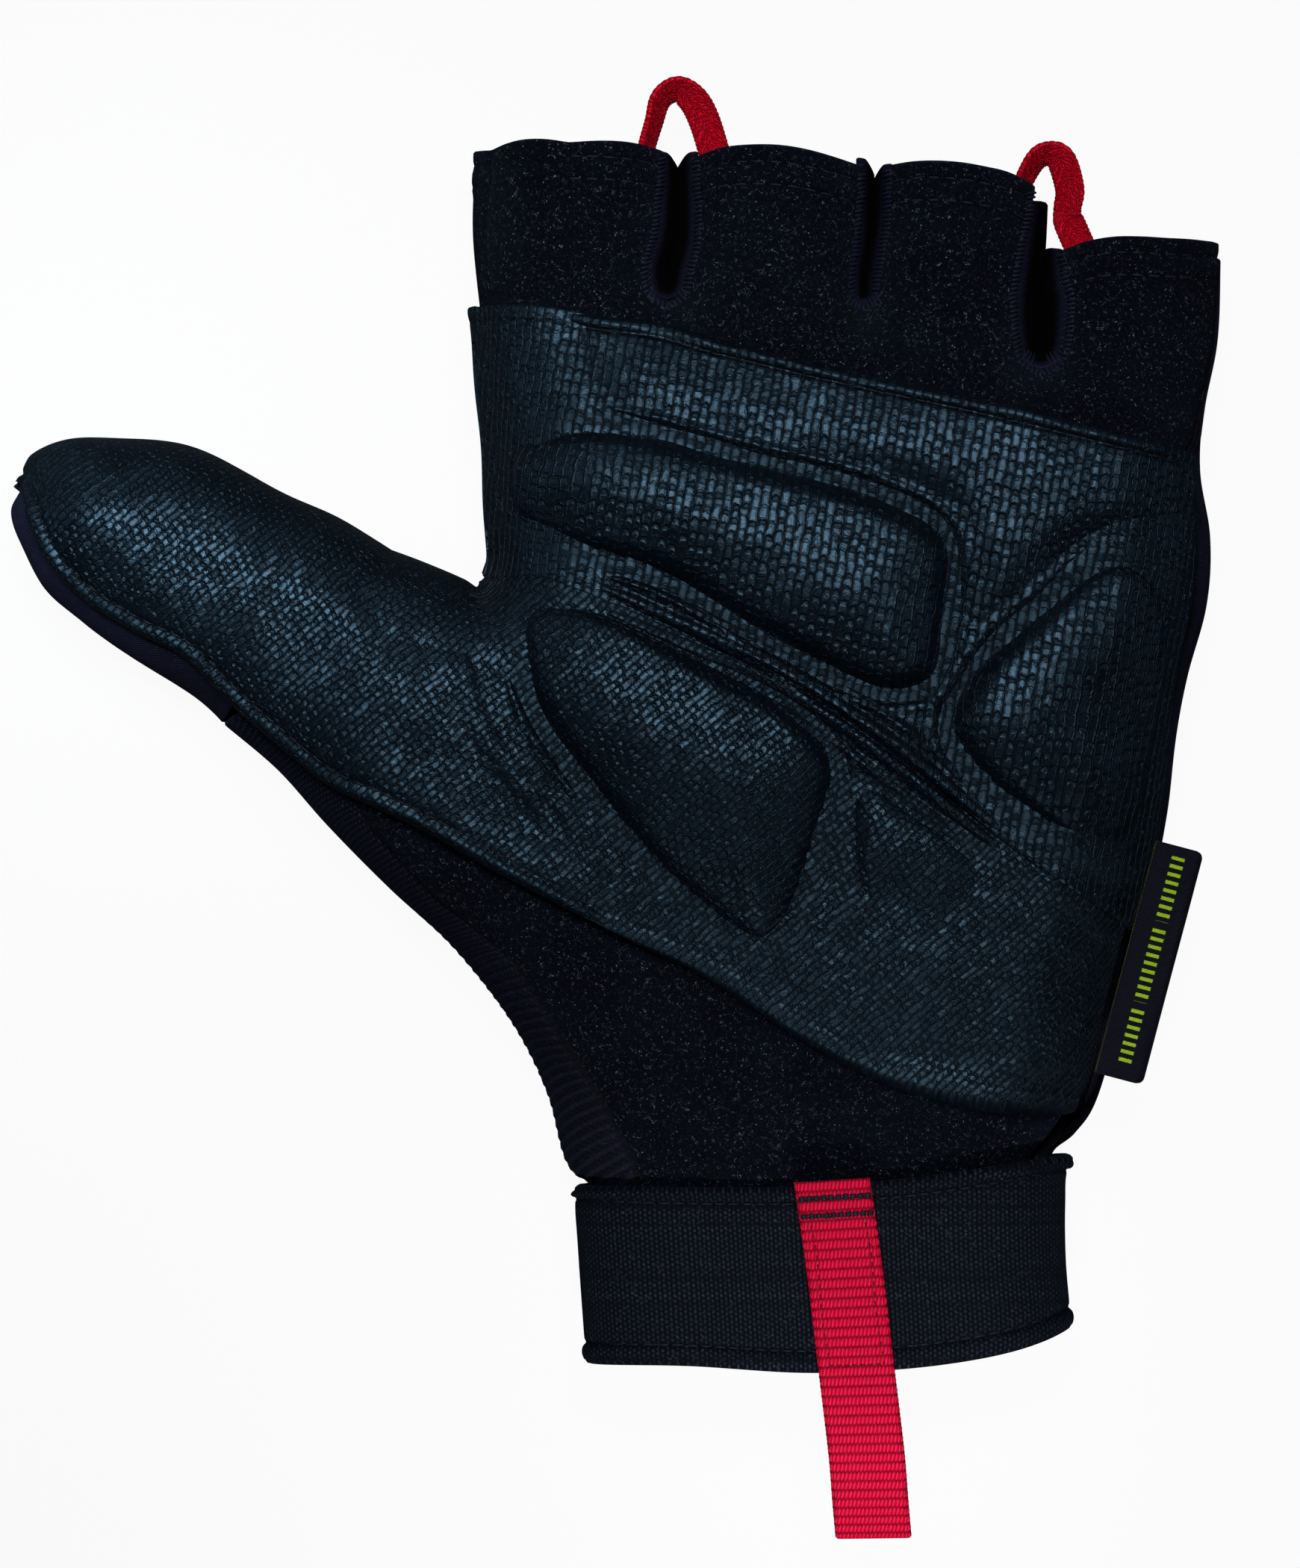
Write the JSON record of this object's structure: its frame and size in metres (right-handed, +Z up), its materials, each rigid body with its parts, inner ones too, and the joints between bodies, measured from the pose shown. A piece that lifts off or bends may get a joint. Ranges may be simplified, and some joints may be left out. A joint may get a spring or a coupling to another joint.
{
  "type": "wheelchair glove",
  "caption": "Left-hand wheelchair glove with open finger stubs, closed thumb, grip patches, elastic cuff and red pull tabs.",
  "frame": {"origin": "middle of the bounding box in plan, on the plane the back of the glove rests on", "axes": "+Y towards the open ends of the fingers, +X towards the little finger, +Z up out of the palm"},
  "size_m": [0.168, 0.204, 0.0322],
  "materials": {
    "palm_suede": "dark synthetic suede",
    "back_cloth": "navy twill",
    "rib_cloth": "ribbed stretch cloth",
    "coated_weave": "glossy coated coarse weave",
    "cuff_knit": "fine elastic knit",
    "red_webbing": "ribbed webbing",
    "red_tape": "braided tape",
    "label_ribbon": "woven ribbon"
  },
  "bodies": {
    "root": {"palm_panel": "palm_suede", "back_panel": "back_cloth", "thumb_back": "back_cloth", "rib_gusset": "rib_cloth", "side_panel": "back_cloth", "fourchette_1": "rib_cloth", "fourchette_2": "rib_cloth", "fourchette_3": "rib_cloth", "grip_patch_upper": "coated_weave", "grip_patch_thumb": "coated_weave", "cuff": "cuff_knit", "pull_tab": "red_webbing", "finger_loop_1": "red_tape", "finger_loop_2": "red_tape", "label_loop": "label_ribbon"}
  },
  "joints": []
}
